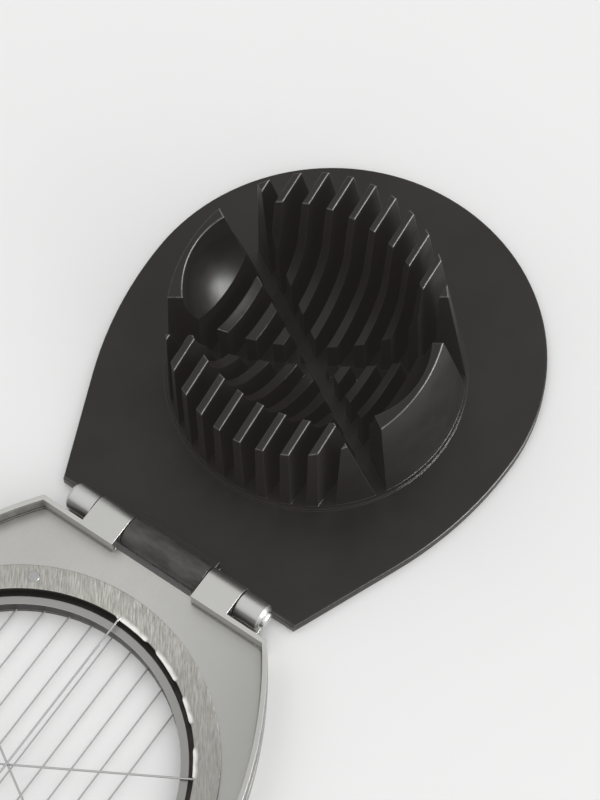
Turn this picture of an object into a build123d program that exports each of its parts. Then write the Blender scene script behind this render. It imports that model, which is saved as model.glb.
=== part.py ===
from build123d import *
import math
import os

os.makedirs("parts", exist_ok=True)

# The slicer lies open on the table: the cradle on +Y, both cutting frames folded back to -Y.
# X runs along the hinge pin, the table is Z = 0 and the pin axis stands above Y = 0.

# ---- hinge -------------------------------------------------------------------------------
pin_z = 5.7                  # height of the pin axis above the table
pin_r = 1.5
bore_r = pin_r + 0.05        # running fit of the barrel and the straps on the pin
pin_head_r = 1.9             # peened dome on the +X end
pin_head_h = 0.9
barrel_half = 9.7            # the base's own barrel, between the straps
barrel_r = 3.4
saddle_y = 5.0               # web that carries the barrel on the plate
strap_in_x = 10.0            # wedge frame straps
strap_out_x = 18.3
strap_r = 3.3
strap_t = 0.9
knuckle_in_x = 18.6          # slicing frame knuckles, outside the straps
knuckle_out_x = 24.6
knuckle_r = 3.0
knuckle_chamfer = 0.6        # bevel around the knuckles' outer ends

# ---- base plate --------------------------------------------------------------------------
plate_t = 2.3
plate_corner_x = 29.7        # sharp corners beside the hinge
plate_edge_y = 2.8
plate_end_r = 46.6           # round far end of the egg-shaped plate
plate_end_y = 60.5
plate_side_r = 88.0          # flatter arc of each long side
plate_edge_round = 0.4

# ---- cradle ------------------------------------------------------------------------------
cradle_y = 54.0
cradle_foot_r = 32.2
cradle_draft = 5.5           # draft of the wall, degrees
cradle_lean = 5.7            # the drum leans towards the hinge, degrees
cradle_top_z = 46.0          # just above the highest point of the rim
foot_step = 0.7              # low disc under the ribs
foot_step_r = 32.9
rim_mid_z = 36.5             # rim plane over the middle of the cradle
rim_slope = 18.2             # the rim rises away from the hinge, degrees
rim_round = 0.3
egg_half_length = 27.3       # hollow: an egg lying along X, its wall drafted above the axis
egg_r = 19.5
egg_y = 49.9
egg_z = 31.0
egg_draft = 6.0
wire_pitch = 5.0
wire_count = 9
slot_w = 2.9                 # at the floor of the slots
slot_draft = 0.52            # the slots widen towards the rim, degrees
slot_floor_z = plate_t + foot_step
groove_half = 1.25           # half width of the wedge grooves at their floor
groove_far_lean = 2.8        # both walls of a groove lean towards the hinge, degrees
groove_near_lean = 13.4
groove_turn = 30             # the outer wedge wires lie this far from X, degrees

# ---- frames ------------------------------------------------------------------------------
frame_y = -cradle_y          # middle of the wire rings
frame_edge_y = -4.5          # straight edge beside the hinge
frame_side_r = 91.0
frame_end_r = 47.2
frame_end_y = -60.0
frame_corner_round = 0.6
wall_t = 1.0

wedge_bottom_z = 4.1
wedge_top_z = 5.1
wedge_rim_z = 9.0
wedge_hole_r = 37.6
wedge_ring_t = 0.8
wedge_ring_in = 37.2
wedge_ring_out = 42.5
wedge_wire_r = 0.22
wedge_wire_end = 39.6
wedge_wire_low_z = 4.7       # the three wires cross one above the other
wedge_wire_step = 0.45

slice_bottom_z = 2.6
slice_top_z = 3.6
collar_in = 34.4             # collar around the slicing frame's hole
collar_out = 36.1
collar_top = 4.2
collar_bottom = 1.0
slice_ring_bottom = 0.2
slice_ring_out = 41.4
slice_wire_r = 0.17
slice_wire_end = 35.7

rivet_circle = 39.9
rivet_r = 0.9
rivet_head_r = 1.25
rivet_head_h = 0.35
rivet_head_round = 0.15
dimple_r = 2.0               # sunk seat around each rivet head
dimple_depth = 0.25
boss_r = 2.4                 # bosses under the slicing sheet that the ring is riveted to
boss_depth = 0.3             # the rivets end this far inside the slicing sheet


def wire_x(index):
    """Place of a slicing wire along the hinge, counted from 0."""
    return (index - (wire_count - 1) / 2) * wire_pitch


def frame_outline(inset):
    """Edges of the outline that both frames share, moved inwards by inset."""
    centre_x = frame_end_r - frame_side_r
    side_r = frame_side_r - inset
    edge_y = frame_edge_y - inset
    turn = math.asin((edge_y - frame_end_y) / side_r)
    corner_x = centre_x + side_r * math.cos(turn)
    mid_x = centre_x + side_r * math.cos(turn / 2)
    mid_y = frame_end_y + side_r * math.sin(turn / 2)
    end_r = frame_end_r - inset
    Line((-corner_x, edge_y), (corner_x, edge_y))
    ThreePointArc((corner_x, edge_y), (mid_x, mid_y), (end_r, frame_end_y))
    ThreePointArc((end_r, frame_end_y), (0, frame_end_y - end_r), (-end_r, frame_end_y))
    ThreePointArc((-end_r, frame_end_y), (-mid_x, mid_y), (-corner_x, edge_y))


# Point where each straight edge of the plate touches its side arc.
plate_side_x = plate_end_r - plate_side_r
corner_dx = plate_corner_x - plate_side_x
corner_dy = plate_edge_y - plate_end_y
join_turn = math.atan2(corner_dy, corner_dx) + math.acos(
    plate_side_r / math.hypot(corner_dx, corner_dy)
)
join_x = plate_side_x + plate_side_r * math.cos(join_turn)
join_y = plate_end_y + plate_side_r * math.sin(join_turn)
side_x = plate_side_x + plate_side_r * math.cos(join_turn / 2)
side_y = plate_end_y + plate_side_r * math.sin(join_turn / 2)

# Rim plane: its local X stays along the hinge, its local Y climbs away from the hinge.
rim_up = math.radians(rim_slope)
rim_plane = Plane(
    origin=(0, cradle_y, rim_mid_z),
    x_dir=(1, 0, 0),
    z_dir=(0, -math.sin(rim_up), math.cos(rim_up)),
)

# Groove for a wedge wire: a straight channel across the cradle. Its wall towards the hinge
# slopes back, out of the path of the wire as it swings down.
groove_run = math.radians(groove_turn)
groove_h = cradle_top_z - slot_floor_z
with BuildPart() as groove_tool:
    with BuildSketch(
        Plane(
            origin=(0, cradle_y, slot_floor_z),
            x_dir=(-math.sin(groove_run), math.cos(groove_run), 0),
            z_dir=(math.cos(groove_run), math.sin(groove_run), 0),
        )
    ):
        with BuildLine():
            Polyline(
                (-groove_half, 0),
                (groove_half, 0),
                (groove_half - groove_h * math.tan(math.radians(groove_far_lean)), groove_h),
                (-groove_half - groove_h * math.tan(math.radians(groove_near_lean)), groove_h),
                close=True,
            )
        make_face()
    extrude(amount=1.5 * foot_step_r, both=True)

# Drum that the ribs are cut from. It leans towards the hinge, because its far side has to stay
# inside the circle that the slicing frame sweeps.
lean = math.radians(cradle_lean)
drum_axis = Axis((0, cradle_y, slot_floor_z), (0, -math.sin(lean), math.cos(lean)))
drum_narrowing = cradle_top_z * math.tan(math.radians(cradle_draft))

with BuildPart() as cradle:
    drum_plane = Plane(
        origin=drum_axis.position,
        x_dir=(1, 0, 0),
        z_dir=(0, -math.cos(lean), -math.sin(lean)),
    )
    with BuildSketch(drum_plane):
        with BuildLine():
            Polyline(
                (0, -cradle_top_z),
                (cradle_foot_r + drum_narrowing, -cradle_top_z),
                (cradle_foot_r - drum_narrowing, cradle_top_z),
                (0, cradle_top_z),
                close=True,
            )
        make_face()
    revolve(axis=drum_axis)
    split(bisect_by=Plane.XY.offset(plate_t), keep=Keep.TOP)
    with BuildSketch(rim_plane):
        Rectangle(4 * cradle_foot_r, 4 * cradle_foot_r)
    extrude(amount=2 * cradle_foot_r, mode=Mode.SUBTRACT)

    # egg-shaped hollow: half an egg below its axis, a drafted wall above
    with BuildSketch(Plane.XY.offset(egg_z)):
        with Locations((0, egg_y)):
            Ellipse(egg_half_length, egg_r)
    extrude(amount=cradle_top_z - egg_z, taper=-egg_draft, mode=Mode.SUBTRACT)
    with BuildSketch(Plane.XY.offset(egg_z)):
        with Locations((0, egg_y)):
            Ellipse(egg_half_length, egg_r)
        with Locations((0, egg_y - egg_r)):
            Rectangle(2 * egg_half_length, 2 * egg_r, mode=Mode.SUBTRACT)
    revolve(axis=Axis((0, egg_y, egg_z), (1, 0, 0)), mode=Mode.SUBTRACT)

    # slots for the slicing wires, and the grooves for the two outer wedge wires
    with BuildSketch(Plane.XY.offset(slot_floor_z)):
        for index in range(wire_count):
            with Locations((wire_x(index), cradle_y)):
                Rectangle(slot_w, 3 * foot_step_r)
    extrude(amount=cradle_top_z, taper=-slot_draft, mode=Mode.SUBTRACT)
    add(groove_tool.part, mode=Mode.SUBTRACT)
    add(mirror(groove_tool.part, about=Plane.YZ), mode=Mode.SUBTRACT)
    rim_faces = cradle.faces().filter_by(GeomType.PLANE).filter_by(
        lambda face: face.normal_at().dot(rim_plane.z_dir) > 0.9999
    )
    fillet(rim_faces.edges(), radius=rim_round)

# ---- base: plate, cradle and hinge barrel are one moulding -------------------------------
with BuildPart() as base:
    with BuildSketch(Plane.XY):
        with BuildLine():
            Line((-plate_corner_x, plate_edge_y), (plate_corner_x, plate_edge_y))
            Line((plate_corner_x, plate_edge_y), (join_x, join_y))
            ThreePointArc((join_x, join_y), (side_x, side_y), (plate_end_r, plate_end_y))
            ThreePointArc(
                (plate_end_r, plate_end_y),
                (0, plate_end_y + plate_end_r),
                (-plate_end_r, plate_end_y),
            )
            ThreePointArc((-plate_end_r, plate_end_y), (-side_x, side_y), (-join_x, join_y))
            Line((-join_x, join_y), (-plate_corner_x, plate_edge_y))
        make_face()
    extrude(amount=plate_t)
    fillet(base.faces().sort_by(Axis.Z)[-1].edges(), radius=plate_edge_round)

    # low disc under the ribs
    with BuildSketch(Plane.XY.offset(plate_t / 2)):
        with Locations((0, cradle_y)):
            Circle(foot_step_r)
    extrude(amount=slot_floor_z - plate_t / 2)
    add(cradle.part)

    # hinge barrel on its web
    with BuildSketch(Plane.YZ.offset(-barrel_half)):
        with Locations((0, pin_z)):
            Circle(barrel_r)
        with Locations((saddle_y / 2, pin_z / 2)):
            Rectangle(saddle_y, pin_z)
    extrude(amount=2 * barrel_half)
    with BuildSketch(Plane.YZ.offset(-barrel_half)):
        with Locations((0, pin_z)):
            Circle(bore_r)
    extrude(amount=2 * barrel_half, mode=Mode.SUBTRACT)
base.part.label = "base"
export_step(base.part, "parts/base.step")

# ---- hinge pin, pressed into the slicing frame's knuckles --------------------------------
with BuildPart() as hinge_pin:
    with BuildSketch(Plane.YZ.offset(-knuckle_out_x)):
        with Locations((0, pin_z)):
            Circle(pin_r)
    extrude(amount=2 * knuckle_out_x)
    with BuildSketch(Plane.YZ.offset(knuckle_out_x)):
        with Locations((0, pin_z)):
            Circle(pin_head_r)
    extrude(amount=pin_head_h)
    fillet(hinge_pin.edges().sort_by(Axis.X)[-1], radius=0.8 * pin_head_h)
hinge_pin.part.label = "hinge_pin"
export_step(hinge_pin.part, "parts/hinge_pin.step")


def wedge_wire_plane(index):
    """Plane across one wedge wire at the middle of the ring, wires 60 degrees apart."""
    turn = math.radians(groove_turn + 60 * index)
    order = (0, 2, 1)[index]
    return Plane(
        origin=(0, frame_y, wedge_wire_low_z + order * wedge_wire_step),
        x_dir=(-math.sin(turn), math.cos(turn), 0),
        z_dir=(math.cos(turn), math.sin(turn), 0),
    )


# ---- wedge frame: a shallow tray with two straps around the pin --------------------------
with BuildPart() as wedge_frame:
    with BuildSketch(Plane.XY.offset(wedge_bottom_z)):
        with BuildLine():
            frame_outline(0)
        make_face()
    extrude(amount=wedge_rim_z - wedge_bottom_z)
    corners = wedge_frame.edges().filter_by(Axis.Z).sort_by(Axis.Y)[-2:]
    fillet(corners, radius=frame_corner_round)
    with BuildSketch(Plane.XY.offset(wedge_top_z)):
        with BuildLine():
            frame_outline(wall_t)
        make_face()
    extrude(amount=wedge_rim_z, mode=Mode.SUBTRACT)
    with BuildSketch(Plane.XY.offset(wedge_top_z)):
        with Locations((0, frame_edge_y)):
            Rectangle(2 * strap_in_x, 3 * wall_t)
    extrude(amount=wedge_rim_z, mode=Mode.SUBTRACT)
    with BuildSketch(Plane.XY.offset(wedge_bottom_z)):
        with Locations((0, frame_y)):
            Circle(wedge_hole_r)
            with PolarLocations(rivet_circle, 3):
                Circle(rivet_r)
    extrude(amount=wedge_rim_z, mode=Mode.SUBTRACT)
    for start_x in (-strap_out_x, strap_in_x):
        with BuildSketch(Plane.YZ.offset(start_x)):
            with Locations(((frame_edge_y - wall_t / 2) / 2, wedge_rim_z - strap_t / 2)):
                Rectangle(-frame_edge_y + wall_t / 2, strap_t)
            with Locations((0, pin_z)):
                Circle(strap_r)
                Circle(bore_r, mode=Mode.SUBTRACT)
        extrude(amount=strap_out_x - strap_in_x)
    for index in range(3):
        with BuildSketch(wedge_wire_plane(index)):
            Circle(wedge_wire_r)
        extrude(amount=wedge_wire_end, both=True, mode=Mode.SUBTRACT)
wedge_frame.part.label = "wedge_frame"
export_step(wedge_frame.part, "parts/wedge_frame.step")

# ---- flat steel ring that clamps the wedge wires -----------------------------------------
with BuildPart() as wedge_ring:
    with BuildSketch(Plane.XY.offset(wedge_top_z)):
        with Locations((0, frame_y)):
            Circle(wedge_ring_out)
            Circle(wedge_ring_in, mode=Mode.SUBTRACT)
            with PolarLocations(rivet_circle, 3):
                Circle(rivet_r, mode=Mode.SUBTRACT)
    extrude(amount=wedge_ring_t)
    with BuildSketch(Plane.XY.offset(wedge_top_z + wedge_ring_t - dimple_depth)):
        with Locations((0, frame_y)):
            with PolarLocations(rivet_circle, 3):
                Circle(dimple_r)
    extrude(amount=wedge_ring_t, mode=Mode.SUBTRACT)
    for index in range(3):
        with BuildSketch(wedge_wire_plane(index)):
            Circle(wedge_wire_r)
        extrude(amount=wedge_wire_end, both=True, mode=Mode.SUBTRACT)
wedge_ring.part.label = "wedge_ring"
export_step(wedge_ring.part, "parts/wedge_ring.step")

with BuildPart() as wedge_rivets:
    with BuildSketch(Plane.XY.offset(wedge_bottom_z)):
        with Locations((0, frame_y)):
            with PolarLocations(rivet_circle, 3):
                Circle(rivet_r)
    extrude(amount=wedge_top_z + wedge_ring_t - dimple_depth - wedge_bottom_z)
    with BuildSketch(Plane.XY.offset(wedge_top_z + wedge_ring_t - dimple_depth)):
        with Locations((0, frame_y)):
            with PolarLocations(rivet_circle, 3):
                Circle(rivet_head_r)
    extrude(amount=rivet_head_h)
    fillet(wedge_rivets.edges().group_by(Axis.Z)[-1], radius=rivet_head_round)
wedge_rivets.part.label = "wedge_rivets"
export_step(wedge_rivets.part, "parts/wedge_rivets.step")

for index in range(3):
    with BuildPart() as wedge_wire:
        with BuildSketch(wedge_wire_plane(index)):
            Circle(wedge_wire_r)
        extrude(amount=wedge_wire_end, both=True)
    wedge_wire.part.label = f"wedge_wire_{index + 1}"
    export_step(wedge_wire.part, f"parts/wedge_wire_{index + 1}.step")

# ---- slicing frame: its rim turned the other way, a collar and two knuckles --------------
with BuildPart() as slicing_frame:
    with BuildSketch(Plane.XY):
        with BuildLine():
            frame_outline(0)
        make_face()
    extrude(amount=slice_top_z)
    corners = slicing_frame.edges().filter_by(Axis.Z).sort_by(Axis.Y)[-2:]
    fillet(corners, radius=frame_corner_round)
    with BuildSketch(Plane.XY):
        with BuildLine():
            frame_outline(wall_t)
        make_face()
    extrude(amount=slice_bottom_z, mode=Mode.SUBTRACT)
    with BuildSketch(Plane.XY.offset(collar_bottom)):
        with Locations((0, frame_y)):
            Circle(collar_out)
            with PolarLocations(rivet_circle, 3):
                Circle(boss_r)
    extrude(amount=slice_bottom_z - collar_bottom)
    with BuildSketch(Plane.XY.offset(slice_bottom_z)):
        with Locations((0, frame_y)):
            Circle(collar_out)
    extrude(amount=collar_top - slice_bottom_z)
    with BuildSketch(Plane.XY):
        with Locations((0, frame_y)):
            Circle(collar_in)
    extrude(amount=collar_top, mode=Mode.SUBTRACT)
    with BuildSketch(Plane.XY):
        with Locations((0, frame_y)):
            with PolarLocations(rivet_circle, 3):
                Circle(rivet_r)
    extrude(amount=slice_bottom_z + boss_depth, mode=Mode.SUBTRACT)
    for start_x in (-knuckle_out_x, knuckle_in_x):
        with BuildSketch(Plane.YZ.offset(start_x)):
            with Locations((0, pin_z)):
                Circle(knuckle_r)
            with Locations((frame_edge_y / 2, (slice_bottom_z + slice_top_z) / 2)):
                Rectangle(-frame_edge_y, slice_top_z - slice_bottom_z)
            with Locations((0, pin_z)):
                Circle(pin_r, mode=Mode.SUBTRACT)
        extrude(amount=knuckle_out_x - knuckle_in_x)
    knuckle_ends = slicing_frame.edges().filter_by(GeomType.CIRCLE).filter_by(
        lambda edge: abs(edge.radius - knuckle_r) < 0.01 and abs(edge.center().X) > knuckle_out_x - 0.01
    )
    chamfer(knuckle_ends, length=knuckle_chamfer)
    for index in range(wire_count):
        with BuildSketch(Plane.XZ.offset(-frame_y)):
            with Locations((wire_x(index), collar_bottom)):
                Circle(slice_wire_r)
        half_length = math.sqrt(slice_wire_end ** 2 - wire_x(index) ** 2)
        extrude(amount=half_length, both=True, mode=Mode.SUBTRACT)
slicing_frame.part.label = "slicing_frame"
export_step(slicing_frame.part, "parts/slicing_frame.step")

# ---- ring that clamps the slicing wires against the collar -------------------------------
with BuildPart() as slicing_ring:
    with BuildSketch(Plane.XY.offset(slice_ring_bottom)):
        with Locations((0, frame_y)):
            Circle(slice_ring_out)
            Circle(collar_in, mode=Mode.SUBTRACT)
            with PolarLocations(rivet_circle, 3):
                Circle(rivet_r, mode=Mode.SUBTRACT)
    extrude(amount=collar_bottom - slice_ring_bottom)
    with BuildSketch(Plane.XY.offset(slice_ring_bottom)):
        with Locations((0, frame_y)):
            with PolarLocations(rivet_circle, 3):
                Circle(dimple_r)
    extrude(amount=dimple_depth, mode=Mode.SUBTRACT)
    for index in range(wire_count):
        with BuildSketch(Plane.XZ.offset(-frame_y)):
            with Locations((wire_x(index), collar_bottom)):
                Circle(slice_wire_r)
        half_length = math.sqrt(slice_wire_end ** 2 - wire_x(index) ** 2)
        extrude(amount=half_length, both=True, mode=Mode.SUBTRACT)
slicing_ring.part.label = "slicing_ring"
export_step(slicing_ring.part, "parts/slicing_ring.step")

with BuildPart() as slicing_rivets:
    with BuildSketch(Plane.XY.offset(slice_ring_bottom + dimple_depth)):
        with Locations((0, frame_y)):
            with PolarLocations(rivet_circle, 3):
                Circle(rivet_r)
    extrude(amount=slice_bottom_z + boss_depth - slice_ring_bottom - dimple_depth)
    with BuildSketch(Plane.XY.offset(slice_ring_bottom + dimple_depth)):
        with Locations((0, frame_y)):
            with PolarLocations(rivet_circle, 3):
                Circle(rivet_head_r)
    extrude(amount=-rivet_head_h)
    fillet(slicing_rivets.edges().group_by(Axis.Z)[0], radius=rivet_head_round)
slicing_rivets.part.label = "slicing_rivets"
export_step(slicing_rivets.part, "parts/slicing_rivets.step")

for index in range(wire_count):
    with BuildPart() as slicing_wire:
        with BuildSketch(Plane.XZ.offset(-frame_y)):
            with Locations((wire_x(index), collar_bottom)):
                Circle(slice_wire_r)
        half_length = math.sqrt(slice_wire_end ** 2 - wire_x(index) ** 2)
        extrude(amount=half_length, both=True)
    slicing_wire.part.label = f"slicing_wire_{index + 1}"
    export_step(slicing_wire.part, f"parts/slicing_wire_{index + 1}.step")
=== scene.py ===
import math
import random

import bmesh
import bpy
from mathutils import Matrix, Vector


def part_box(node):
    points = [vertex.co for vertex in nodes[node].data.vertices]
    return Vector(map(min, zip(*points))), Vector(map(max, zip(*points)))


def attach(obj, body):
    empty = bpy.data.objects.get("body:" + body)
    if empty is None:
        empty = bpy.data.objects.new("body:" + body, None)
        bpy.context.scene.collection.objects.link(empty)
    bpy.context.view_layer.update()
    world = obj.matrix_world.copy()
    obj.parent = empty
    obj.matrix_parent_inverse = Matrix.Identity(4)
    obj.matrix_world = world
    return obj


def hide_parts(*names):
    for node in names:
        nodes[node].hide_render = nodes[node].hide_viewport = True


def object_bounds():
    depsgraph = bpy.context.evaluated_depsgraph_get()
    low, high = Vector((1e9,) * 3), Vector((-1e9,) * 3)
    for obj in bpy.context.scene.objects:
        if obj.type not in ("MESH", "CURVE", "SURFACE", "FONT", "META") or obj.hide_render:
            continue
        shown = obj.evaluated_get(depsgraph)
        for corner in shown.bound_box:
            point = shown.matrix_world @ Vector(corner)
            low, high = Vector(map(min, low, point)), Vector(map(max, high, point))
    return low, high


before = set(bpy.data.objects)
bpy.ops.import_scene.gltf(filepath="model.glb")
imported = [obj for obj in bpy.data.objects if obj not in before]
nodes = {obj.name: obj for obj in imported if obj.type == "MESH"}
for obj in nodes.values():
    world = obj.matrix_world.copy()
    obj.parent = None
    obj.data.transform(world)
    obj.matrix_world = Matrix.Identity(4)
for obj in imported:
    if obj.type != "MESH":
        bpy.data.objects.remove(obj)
cad_low, cad_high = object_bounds()
MM = 0.001

# ---- places read from the frame ----------------------------------------------------------
ring_low, ring_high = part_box("wedge_ring")
ring_centre = (ring_low + ring_high) / 2
base_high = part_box("base")[1]
wedge_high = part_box("wedge_frame")[1]
sheet_z = ring_low.z

# The rim of the cradle lies in one plane: its largest face gives the plane's normal and a point.
rim_faces = [
    face
    for face in nodes["base"].data.polygons
    if face.center.z > base_high.z / 2 and 0.9 < face.normal.z < 0.98
]
rim_face = max(rim_faces, key=lambda face: face.area)
rim_up = rim_face.normal.copy()
rim_point = rim_face.center.copy()

# ---- sizes that the frame doesn't give, as in the CAD ------------------------------------
barrel_r = 3.4 * MM          # the base's hinge barrel
collar_r = 36.1 * MM         # outside of the collar around the slicing frame's hole
ring_inner_r = 37.2 * MM     # inner edge of the wedge wires' clamp ring
# The painted shade in the gap beside the collar ends at gap_end_r.
gap_end_r = 38.0 * MM        # the looks of the gap beside the collar end here


# ---- material helpers --------------------------------------------------------------------
class Tree:
    """A material's node tree with one principled shader, and short calls that add nodes."""

    def __init__(self, name):
        self.material = bpy.data.materials.new(name)
        self.material.use_nodes = True
        self.tree = self.material.node_tree
        self.shader = self.tree.nodes["Principled BSDF"]
        coords = self.add("ShaderNodeTexCoord")
        self.place = coords.outputs["Object"]
        self.facing = coords.outputs["Normal"]

    def add(self, kind, settings=None, **inputs):
        made = self.tree.nodes.new(kind)
        for key, value in (settings or {}).items():
            setattr(made, key, value)
        for key, value in inputs.items():
            self.feed(made.inputs[key.replace("_", " ")], value)
        return made

    def feed(self, socket, value):
        if isinstance(value, bpy.types.NodeSocket):
            self.tree.links.new(value, socket)
        else:
            socket.default_value = value

    def dot(self, vector, axis):
        made = self.add("ShaderNodeVectorMath", {"operation": "DOT_PRODUCT"})
        self.feed(made.inputs[0], vector)
        self.feed(made.inputs[1], axis)
        return made.outputs["Value"]

    def times(self, first, *others):
        for other in others:
            first = self.math("MULTIPLY", first, other)
        return first

    def math(self, operation, *values):
        made = self.add("ShaderNodeMath", {"operation": operation})
        for socket, value in zip(made.inputs, values):
            self.feed(socket, value)
        return made.outputs[0]

    def split(self, vector):
        return self.add("ShaderNodeSeparateXYZ", Vector=vector).outputs

    def noise(self, scale, detail=4.0, rough=0.5, vector=None, distortion=0.0):
        made = self.add(
            "ShaderNodeTexNoise",
            Scale=scale,
            Detail=detail,
            Roughness=rough,
            Distortion=distortion,
            Vector=vector or self.place,
        )
        return made.outputs["Fac"]

    def stretch(self, turn, scale, vector=None):
        """Coordinates turned about Z; a scale above 1 draws the grain out along that axis."""
        made = self.add("ShaderNodeMapping", {"vector_type": "TEXTURE"})
        self.feed(made.inputs["Vector"], vector or self.place)
        made.inputs["Rotation"].default_value = (0, 0, turn)
        made.inputs["Scale"].default_value = scale
        return made.outputs[0]

    def remap(self, value, low, high, new_low, new_high):
        made = self.add(
            "ShaderNodeMapRange",
            Value=value,
            From_Min=low,
            From_Max=high,
            To_Min=new_low,
            To_Max=new_high,
        )
        return made.outputs[0]

    def mix(self, share, first, second):
        made = self.add("ShaderNodeMix", {"data_type": "RGBA"})
        self.feed(made.inputs[0], share)
        self.feed(made.inputs[6], first)
        self.feed(made.inputs[7], second)
        return made.outputs[2]

    def bump(self, height, distance, strength=1.0, normal=None):
        made = self.add("ShaderNodeBump", Height=height, Strength=strength, Distance=distance)
        if normal is not None:
            self.feed(made.inputs["Normal"], normal)
        return made.outputs[0]

    def rounded(self, radius, samples=6):
        """The surface normal with every sharp edge rounded to this radius."""
        return self.add("ShaderNodeBevel", {"samples": samples}, Radius=radius).outputs[0]

    def edges(self, rounded_normal):
        """1 on sharp edges, 0 on flats: how far the rounded normal leaves the true one."""
        true = self.add("ShaderNodeNewGeometry").outputs["Normal"]
        return self.remap(self.dot(true, rounded_normal), 0.995, 0.80, 0.0, 1.0)

    def set(self, **inputs):
        for key, value in inputs.items():
            self.feed(self.shader.inputs[key.replace("_", " ")], value)


def grey(value):
    return (value, value, value, 1)


# ---- materials ---------------------------------------------------------------------------
def black_plastic():
    """Satin black moulding, paler along its sharp edges from wear and a painted highlight, with a
    painted highlight on the crests of the rim and on the hinge barrel.
    """
    m = Tree("black_plastic")
    cloud = m.remap(m.noise(45, 3, 0.6), 0.3, 0.7, 0.0, 1.0)
    colour = m.mix(cloud, (0.0070, 0.0062, 0.0056, 1), (0.0150, 0.0128, 0.0112, 1))

    soft = m.rounded(0.28 * MM)
    # Sharp edges are made paler, partly from wear and partly as a painted highlight along them.
    wear_and_edge_highlight = m.edges(soft)
    scuff = m.remap(m.noise(900, 5, 0.7), 0.45, 0.75, 0.4, 1.0)
    colour = m.mix(m.times(wear_and_edge_highlight, scuff, 0.75), colour, (0.075, 0.071, 0.067, 1))

    # painted highlight on the rounded edges just under the rim's plane, strongest where they face
    # +X
    height = m.math("SUBTRACT", m.dot(m.place, tuple(rim_up)), rim_point.dot(rim_up))
    rim_edge_highlight = m.times(
        m.remap(height, -0.36 * MM, -0.26 * MM, 0.0, 1.0),
        m.remap(m.dot(m.facing, tuple(rim_up)), 0.985, 0.93, 0.0, 1.0),
        m.remap(m.noise(420, 4, 0.7), 0.35, 0.65, 0.35, 1.0),
        m.remap(m.split(m.facing)["X"], -0.2, 0.5, 0.15, 1.0),
    )
    colour = m.mix(rim_edge_highlight, colour, (0.165, 0.160, 0.155, 1))

    # the hinge barrel is rubbed smoother along its length, and its paler colour there is a painted
    # highlight
    y = m.split(m.place)["Y"]
    on_barrel = m.remap(y, barrel_r - 0.2 * MM, barrel_r + 0.2 * MM, 1.0, 0.0)
    along_barrel = m.stretch(0, (2.5, 1.0, 1.0))
    rubbed_and_highlight = m.times(on_barrel, m.remap(m.noise(330, 4, 0.6, along_barrel), 0.35, 0.65, 0.30, 1.0))
    colour = m.mix(rubbed_and_highlight, colour, (0.078, 0.075, 0.072, 1))

    rough = m.remap(m.noise(160, 4, 0.6), 0.3, 0.7, 0.31, 0.41)
    rough = m.math("SUBTRACT", rough, m.times(rubbed_and_highlight, 0.10))
    rough = m.math("ADD", rough, m.times(wear_and_edge_highlight, -0.06))
    bumped = m.bump(m.noise(5200, 2, 0.5), 0.012 * MM, 0.55, soft)
    m.set(Base_Color=colour, Roughness=rough, Normal=bumped, Specular_IOR_Level=0.215)
    return m.material


def ring_radius(m):
    """Distance of a point from the middle of the wire rings."""
    x, y, _ = m.split(m.place)
    dy = m.math("SUBTRACT", y, ring_centre.y)
    return m.math("SQRT", m.math("ADD", m.times(x, x), m.times(dy, dy)))


def satin_silver(m):
    """Grain and colour of the frames' metal, with painted shade making it darker towards +X."""
    x, y, _ = m.split(m.place)
    grain = m.noise(5200, 3, 0.6, m.stretch(math.radians(90), (7.0, 1.0, 1.0)))
    tone = m.remap(m.noise(60, 3, 0.6), 0.3, 0.7, 0.0, 1.0)
    colour = m.mix(tone, (0.388, 0.385, 0.367, 1), (0.428, 0.425, 0.405, 1))
    fine = m.remap(grain, 0.3, 0.7, 0.0, 1.0)
    colour = m.mix(m.times(fine, 0.36), colour, (0.50, 0.50, 0.48, 1))
    # Painted shade: the metal is made darker towards +X, away from the hinge.
    off_hinge = m.remap(y, -8 * MM, -5 * MM, 1.0, 0.0)
    painted_shade_to_x = m.times(m.remap(x, 0, 36 * MM, 0.0, 0.9), off_hinge)
    return grain, m.mix(painted_shade_to_x, colour, (0.325, 0.325, 0.309, 1))


def wedge_wall(m, colour, side):
    """The wedge frame's painted light: darker streaked walls facing ±X, paler walls facing ±Y,
    painted shade at the walls' foot and the hole edge, and a painted highlight on the top.
    """
    nx, ny, _ = m.split(m.facing)
    z = m.split(m.place)["Z"]
    # Painted reflection and shade: walls facing ±X are darkened with vertical streaks.
    painted_wall_streaks = m.noise(230, 5, 0.7, m.stretch(0, (1.0, 1.0, 3.0)))
    painted_wall_streaks = m.remap(painted_wall_streaks, 0.40, 0.62, 0.30, 0.95)
    long_side = m.remap(m.math("ABSOLUTE", nx), 0.3, 0.7, 0.1, 1.0)
    painted_wall_streaks = m.times(painted_wall_streaks, long_side)
    colour = m.mix(m.times(side, painted_wall_streaks), colour, (0.170, 0.162, 0.147, 1))
    # Painted highlight: walls facing ±Y are made paler.
    y_wall_highlight = m.times(side, m.remap(m.math("ABSOLUTE", ny), 0.7, 0.9, 0.0, 0.8))
    colour = m.mix(y_wall_highlight, colour, (0.60, 0.60, 0.585, 1))
    # Painted shade at the foot of the walls, where they meet the sheet, and on the wall of the
    # ring hole.
    wall_foot_shade = m.remap(z, sheet_z + 0.15 * MM, sheet_z + 0.50 * MM, 1.0, 0.0)
    hole = m.remap(ring_radius(m), gap_end_r, gap_end_r + 0.2 * MM, 1.0, 0.0)
    recess_shade = m.times(side, m.math("MAXIMUM", wall_foot_shade, hole))
    colour = m.mix(recess_shade, colour, (0.05, 0.048, 0.044, 1))
    # Painted highlight: the top of the wall is made paler.
    top = m.remap(z, wedge_high.z - 1.2 * MM, wedge_high.z - 0.8 * MM, 0.0, 0.55)
    return m.mix(top, colour, (0.48, 0.48, 0.466, 1))


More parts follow.
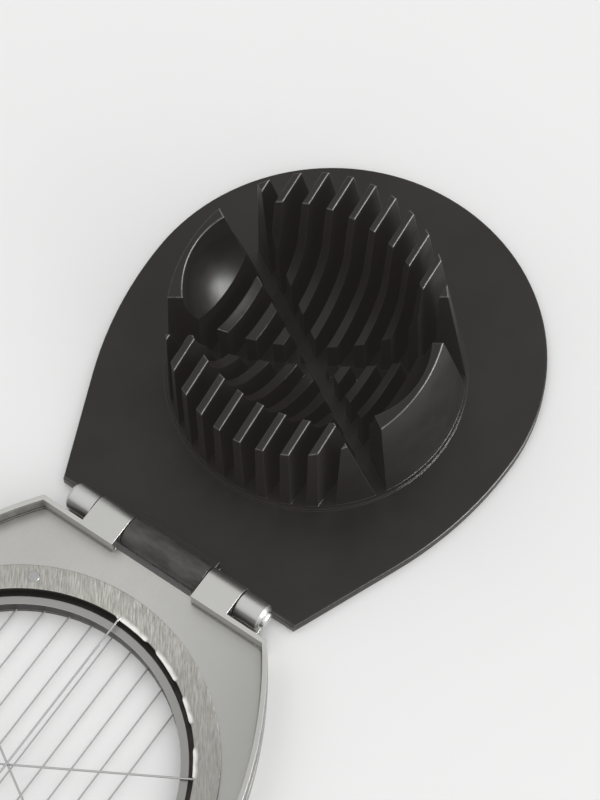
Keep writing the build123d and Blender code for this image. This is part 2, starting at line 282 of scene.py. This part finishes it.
def collar_gap(m, colour, side):
    """The slicing frame's painted light: a painted highlight on the knuckles, a grey lip, and
    painted shade in the gap at the collar and on the collar's inner wall.
    """
    r = ring_radius(m)
    # Painted highlight: the knuckles are made paler.
    knuckle_highlight = m.remap(m.split(m.place)["Y"], -3.4 * MM, -3.0 * MM, 0.0, 0.9)
    colour = m.mix(knuckle_highlight, colour, (0.49, 0.49, 0.48, 1))
    near = m.remap(r, collar_r + 0.3 * MM, collar_r + 0.5 * MM, 1.0, 0.0)
    lip = m.times(near, m.math("SUBTRACT", 1.0, side), 0.8)
    colour = m.mix(lip, colour, (0.235, 0.233, 0.226, 1))
    # Painted shade: the gap beside the collar and the collar's inner wall are darkened nearly to
    # black, with streaks.
    gap = m.times(
        m.remap(r, collar_r - 0.05 * MM, collar_r + 0.05 * MM, 0.0, 1.0),
        m.remap(r, gap_end_r - 0.5 * MM, gap_end_r, 1.0, 0.0),
    )
    recess_shade = m.math("MAXIMUM", m.times(side, near), gap)
    streak = m.noise(420, 4, 0.7, m.stretch(0, (1.0, 1.0, 6.0)))
    streak = m.remap(streak, 0.35, 0.75, 0.0, 1.0)
    gap_shade = m.mix(streak, (0.002, 0.002, 0.002, 1), (0.024, 0.021, 0.018, 1))
    return m.mix(m.times(recess_shade, 0.97), colour, gap_shade)


def frame_alloy(name, has_collar):
    """Satin silver of a frame; the slicing frame has the collar, the wedge frame the wall."""
    m = Tree(name)
    grain, colour = satin_silver(m)
    side = m.remap(m.math("ABSOLUTE", m.split(m.facing)["Z"]), 0.25, 0.5, 1.0, 0.0)
    if not has_collar:
        colour = wedge_wall(m, colour, side)
    # Painted shade in creases: the metal is darkened where ambient occlusion finds nearby
    # surfaces.
    crease = m.add("ShaderNodeAmbientOcclusion", {"samples": 8, "only_local": True})
    m.feed(crease.inputs["Distance"], 0.9 * MM)
    crease_shade = m.remap(crease.outputs["AO"], 0.62, 0.82, 0.75, 0.0)
    colour = m.mix(crease_shade, colour, (0.045, 0.043, 0.039, 1))
    if has_collar:
        colour = collar_gap(m, colour, side)
    soft = m.rounded(0.16 * MM)
    # Painted highlight: sharp edges are made nearly white.
    colour = m.mix(m.times(m.edges(soft), 0.7), colour, (0.86, 0.86, 0.84, 1))
    rough = m.remap(grain, 0.25, 0.75, 0.30, 0.44)
    bumped = m.bump(grain, 0.009 * MM, 0.8, soft)
    m.set(Base_Color=colour, Roughness=rough, Metallic=1.0, Normal=bumped, Anisotropic=0.35)
    return m.material


def ring_steel():
    """Coarse brushed steel with pits, with a painted highlight where the clamp ring is dented onto
    the wires and painted shade in the gap, beside the dents and towards +X.
    """
    m = Tree("ring_steel")
    brushed = math.radians(125)
    streaks = m.noise(3600, 4, 0.65, m.stretch(brushed, (9.0, 1.0, 1.0)))
    dashes = m.noise(1900, 2, 0.6, m.stretch(brushed, (4.5, 1.0, 1.0)))
    pits = m.remap(dashes, 0.61, 0.70, 0.0, 1.0)
    tone = m.remap(streaks, 0.3, 0.7, 0.0, 1.0)
    colour = m.mix(tone, (0.205, 0.199, 0.181, 1), (0.415, 0.405, 0.376, 1))
    colour = m.mix(m.times(pits, 0.45), colour, (0.17, 0.158, 0.14, 1))
    x, _, z = m.split(m.place)
    # Painted shade: the ring is made darker towards +X.
    painted_shade_to_x = m.remap(x, 4 * MM, 38 * MM, 0.0, 0.42)
    colour = m.mix(painted_shade_to_x, colour, (0.232, 0.228, 0.212, 1))

    r = ring_radius(m)
    nz = m.split(m.facing)["Z"]
    side = m.remap(m.math("ABSOLUTE", nz), 0.2, 0.5, 1.0, 0.0)
    # Painted shade: the ring's inner wall in the gap is darkened nearly to black.
    inside = m.times(side, m.remap(r, gap_end_r - 0.5 * MM, gap_end_r, 1.0, 0.0))
    colour = m.mix(m.times(inside, 0.85), colour, (0.03, 0.028, 0.025, 1))
    sunk = m.times(
        m.remap(z, ring_high.z - 0.30 * MM, ring_high.z - 0.06 * MM, 1.0, 0.0),
        m.remap(nz, 0.35, 0.6, 0.0, 1.0),
    )
    dent_low, dent_high = gap_end_r + 0.2 * MM, gap_end_r + 0.6 * MM
    # Painted highlight: the dents at the inner edge are made nearly white.
    dent_highlight = m.times(sunk, m.remap(r, dent_low, dent_high, 1.0, 0.0))
    colour = m.mix(m.times(dent_highlight, 0.9), colour, (0.80, 0.79, 0.76, 1))
    # Painted shade: the sunken faces beyond the bright part of each dent are darkened.
    dent_shade = m.times(sunk, m.remap(r, dent_low, dent_high, 0.0, 0.8))
    colour = m.mix(dent_shade, colour, (0.10, 0.096, 0.088, 1))
    soft = m.rounded(0.14 * MM)
    # Painted highlight: sharp edges are made nearly white.
    colour = m.mix(m.times(m.edges(soft), 0.8), colour, (0.9, 0.89, 0.87, 1))

    rough = m.remap(streaks, 0.3, 0.7, 0.30, 0.46)
    rough = m.math("SUBTRACT", rough, m.times(dent_highlight, 0.12))
    bumped = m.bump(m.math("ADD", streaks, m.times(pits, -0.7)), 0.010 * MM, 0.8, soft)
    m.set(Base_Color=colour, Roughness=rough, Metallic=1.0, Normal=bumped, Anisotropic=0.4)
    return m.material


def turned_metal(name, colour, low_rough, high_rough, along):
    """Metal with fine marks that lie across one axis, 0 for X to 2 for Z."""
    m = Tree(name)
    scale = [1.0, 1.0, 1.0]
    scale[along] = 0.05
    lines = m.noise(2200, 3, 0.6, m.stretch(0, scale))
    tone = m.remap(lines, 0.3, 0.7, 0.0, 1.0)
    shade = m.mix(tone, grey(colour * 0.9), grey(colour * 1.08))
    soft = m.rounded(0.12 * MM)
    # Painted highlight: sharp edges are made nearly white.
    shade = m.mix(m.times(m.edges(soft), 0.6), shade, grey(0.88))
    rough = m.remap(lines, 0.3, 0.7, low_rough, high_rough)
    bumped = m.bump(lines, 0.004 * MM, 0.6, soft)
    m.set(Base_Color=shade, Roughness=rough, Metallic=1.0, Normal=bumped)
    return m.material


def floor_paper():
    m = Tree("floor_paper")
    grain = m.noise(3000, 2, 0.5)
    colour = m.mix(grain, (0.832, 0.832, 0.830, 1), (0.842, 0.842, 0.840, 1))
    m.set(Base_Color=colour, Roughness=0.9, Normal=m.bump(grain, 0.01 * MM, 0.3))
    return m.material


def dress(obj, material):
    obj.data.materials.clear()
    obj.data.materials.append(material)


plastic = black_plastic()
wedge_alloy = frame_alloy("frame_alloy_wedge", False)
slice_alloy = frame_alloy("frame_alloy_slicing", True)
steel = ring_steel()
rivet = turned_metal("rivet_metal", 0.34, 0.36, 0.48, 2)
pin = turned_metal("pin_steel", 0.66, 0.18, 0.30, 2)
slicing_wire = turned_metal("wire_steel", 0.42, 0.36, 0.46, 1)
wedge_wire = turned_metal("wedge_wire_steel", 0.46, 0.32, 0.44, 1)

for name, obj in nodes.items():
    if name == "base":
        dress(obj, plastic)
    elif name == "hinge_pin":
        dress(obj, pin)
    elif "slicing_wire" in name:
        dress(obj, slicing_wire)
    elif "wedge_wire" in name:
        dress(obj, wedge_wire)
    elif "rivets" in name:
        dress(obj, rivet)
    elif "ring" in name:
        dress(obj, steel)
    elif name == "wedge_frame":
        dress(obj, wedge_alloy)
    else:
        dress(obj, slice_alloy)


# ---- the pressed ring over the wedge wires -----------------------------------------------
ring_steps = 720             # around the ring
top_steps = 20               # across its flat top
outer_inset = 0.02 * MM      # inside the CAD ring's outer edge
edge_round = 0.10 * MM       # rounding of the edges, with its middle point
edge_middle = 0.03 * MM
grip_ramp = 1.6              # degrees over which a dent runs out
dent_mm = 0.55               # depth of the deepest dent, in mm
pull_mm = 0.30               # how far a dent draws the inner edge inwards, in mm
dent_reach = 1.6 * MM        # from the inner edge to the flat top
dent_slope = ((1.15, 0.12), (0.75, 0.45), (0.35, 0.82), (0.10, 1.0))  # mm in, share of depth


def bump_between(angle, first, last, ramp):
    """1 between two angles in degrees, falling smoothly to 0 over the ramp outside them."""
    outside = max(first - angle, angle - last, 0.0)
    t = max(0.0, 1.0 - outside / ramp)
    return t * t * (3 - 2 * t)


def wire_grips():
    """First and last angle of each dent: four around the middle of each third of the ring."""
    rng = random.Random(7)
    grips = []
    for third in (60, 180, 300):
        for first, last in ((-29, -21), (-12, -4), (3, 13), (20, 30)):
            grips.append((third + first + rng.uniform(-1, 1), third + last + rng.uniform(-1, 1)))
    return grips


def ring_profile(grip, ripple):
    """Cross-section as (radius, height), from the outer foot over the top to the inner foot."""
    top = ring_high.z
    outer = (ring_high.x - ring_low.x) / 2 - outer_inset
    dent = grip * ripple * dent_mm * MM
    lip = ring_inner_r - grip * pull_mm * MM
    profile = [(outer, ring_low.z), (outer, top - edge_round)]
    profile += [(outer - edge_middle, top - edge_middle), (outer - edge_round, top)]
    for index in range(1, top_steps):
        profile.append((outer + (lip + dent_reach - outer) * index / top_steps, top))
    profile.append((lip + dent_reach, top))
    for away, share in dent_slope:
        profile.append((lip + away * MM, top - share * dent))
    profile.append((lip + edge_middle, top - dent - edge_middle))
    profile += [(lip, top - dent - edge_round), (lip, ring_low.z)]
    return profile


def pressed_ring():
    """Flat clamp ring with its inner edge dented where it grips the wires."""
    grips = wire_grips()
    made = bmesh.new()
    loops = []
    for step in range(ring_steps):
        angle = 360 * step / ring_steps
        turn = math.radians(angle)
        grip = max(bump_between(angle, first, last, grip_ramp) for first, last in grips)
        ripple = 0.75 + 0.25 * math.sin(turn * 61) * math.sin(turn * 23)
        loop = []
        for r, z in ring_profile(grip, ripple):
            x = ring_centre.x + r * math.cos(turn)
            y = ring_centre.y + r * math.sin(turn)
            loop.append(made.verts.new((x, y, z)))
        loops.append(loop)
    for step, here in enumerate(loops):
        there = loops[(step + 1) % ring_steps]
        for index in range(len(here)):
            after = (index + 1) % len(here)
            made.faces.new((here[index], here[after], there[after], there[index]))
    bmesh.ops.recalc_face_normals(made, faces=made.faces)
    mesh = bpy.data.meshes.new("wedge_ring_pressed")
    made.to_mesh(mesh)
    made.free()
    mesh.shade_smooth()
    mesh.set_sharp_from_angle(angle=math.radians(50))
    ring = bpy.data.objects.new("wedge_ring_pressed", mesh)
    bpy.context.scene.collection.objects.link(ring)
    dress(ring, steel)
    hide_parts("wedge_ring")
    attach(ring, "wedge_frame")
    return ring


ring_piece = pressed_ring()

# ---- floor -------------------------------------------------------------------------------
floor_size = 6.0
floor_drop = 0.02 * MM       # below the underside, so that the two don't share a plane
grid = bmesh.new()
bmesh.ops.create_grid(grid, x_segments=1, y_segments=1, size=floor_size)
floor_mesh = bpy.data.meshes.new("floor")
grid.to_mesh(floor_mesh)
grid.free()
floor = bpy.data.objects.new("floor", floor_mesh)
floor.location = (0, 0, cad_low.z - floor_drop)
bpy.context.scene.collection.objects.link(floor)
dress(floor, floor_paper())

# ---- light -------------------------------------------------------------------------------
sky_level = 0.50             # light from the horizon
sky_top = 1.06               # light from overhead, reached at sky_top_z
sky_top_z = 0.8
backdrop_level = 0.80
sky_strength = 1.06

world = bpy.data.worlds.new("studio")
bpy.context.scene.world = world
world.use_nodes = True
sky = world.node_tree
direction = sky.nodes.new("ShaderNodeTexCoord").outputs["Generated"]
upward = sky.nodes.new("ShaderNodeSeparateXYZ")
sky.links.new(direction, upward.inputs[0])
ramp = sky.nodes.new("ShaderNodeValToRGB")
sky.links.new(upward.outputs["Z"], ramp.inputs[0])
horizon, zenith = ramp.color_ramp.elements
horizon.position = 0.0
horizon.color = grey(sky_level)
zenith.position = sky_top_z
zenith.color = grey(sky_top)
# The backdrop itself is pale, like the floor; only the light it gives is graded.
backdrop = sky.nodes.new("ShaderNodeMix")
backdrop.data_type = "RGBA"
camera_ray = sky.nodes.new("ShaderNodeLightPath").outputs["Is Camera Ray"]
sky.links.new(camera_ray, backdrop.inputs[0])
sky.links.new(ramp.outputs[0], backdrop.inputs[6])
backdrop.inputs[7].default_value = grey(backdrop_level)
background = sky.nodes["Background"]
sky.links.new(backdrop.outputs[2], background.inputs["Color"])
background.inputs["Strength"].default_value = sky_strength


def softbox(name, toward, distance, size, watts):
    """Rectangular area light that looks at the middle of the object from this direction."""
    data = bpy.data.lights.new(name, "AREA")
    data.shape = "RECTANGLE"
    data.size = size[0]
    data.size_y = size[1]
    data.energy = watts
    lamp = bpy.data.objects.new(name, data)
    way = Vector(toward).normalized()
    lamp.location = (cad_low + cad_high) / 2 + way * distance
    lamp.rotation_mode = "QUATERNION"
    lamp.rotation_quaternion = way.to_track_quat("Z", "Y")
    bpy.context.scene.collection.objects.link(lamp)
    return lamp


def only_on(lamp, objects):
    """This light falls on these objects alone, and adds only to their reflections."""
    group = bpy.data.collections.new(lamp.name + "_receivers")
    for obj in objects:
        group.objects.link(obj)
    lamp.light_linking.receiver_collection = group
    lamp.visible_diffuse = False


lamp_distance = 1.2
side_way = (0.90, -0.10, 0.42)
gloss_way = (0.87, 0.30, 0.33)
softbox("side_box", side_way, lamp_distance, (0.7, 0.5), 1.5)
glossy = [nodes["base"], nodes["hinge_pin"], ring_piece]
only_on(softbox("gloss_box", gloss_way, lamp_distance, (0.85, 0.60), 80.0), glossy)
framed = ("wedge_frame", "slicing_frame", "wedge_rivets", "slicing_rivets")
edge_box = softbox("edge_box", gloss_way, lamp_distance, (0.50, 0.35), 13.0)
only_on(edge_box, [nodes[name] for name in framed])

# ---- camera ------------------------------------------------------------------------------
view_azimuth = math.radians(35.436)
view_height = math.radians(63.655)
view_roll = math.radians(-0.748)
view_distance = 0.50604
sensor = 36                  # mm along the longer side of the picture
lens = 105.3135              # mm
target = Vector((0.000395, 0.047359, 0))
back = Vector(
    (
        math.sin(view_azimuth) * math.cos(view_height),
        -math.cos(view_azimuth) * math.cos(view_height),
        math.sin(view_height),
    )
)
flat_right = Vector((math.cos(view_azimuth), math.sin(view_azimuth), 0))
flat_up = back.cross(flat_right)
right = flat_right * math.cos(view_roll) + flat_up * math.sin(view_roll)
up = flat_up * math.cos(view_roll) - flat_right * math.sin(view_roll)
camera_data = bpy.data.cameras.new("camera")
camera_data.sensor_width = sensor
camera_data.lens = lens
camera_data.clip_start = 0.01
camera_data.clip_end = 20
camera = bpy.data.objects.new("camera", camera_data)
camera.matrix_world = Matrix.Translation(target + back * view_distance) @ Matrix(
    (right, up, back)
).transposed().to_4x4()
bpy.context.scene.collection.objects.link(camera)
bpy.context.scene.camera = camera
bpy.context.scene.view_settings.view_transform = "Standard"

# Stray light inside a lens lifts the blacks of a picture taken against white.
bpy.context.scene.view_settings.use_curve_mapping = True
bpy.context.scene.view_settings.curve_mapping.black_level = (-0.011, -0.0095, -0.0088)
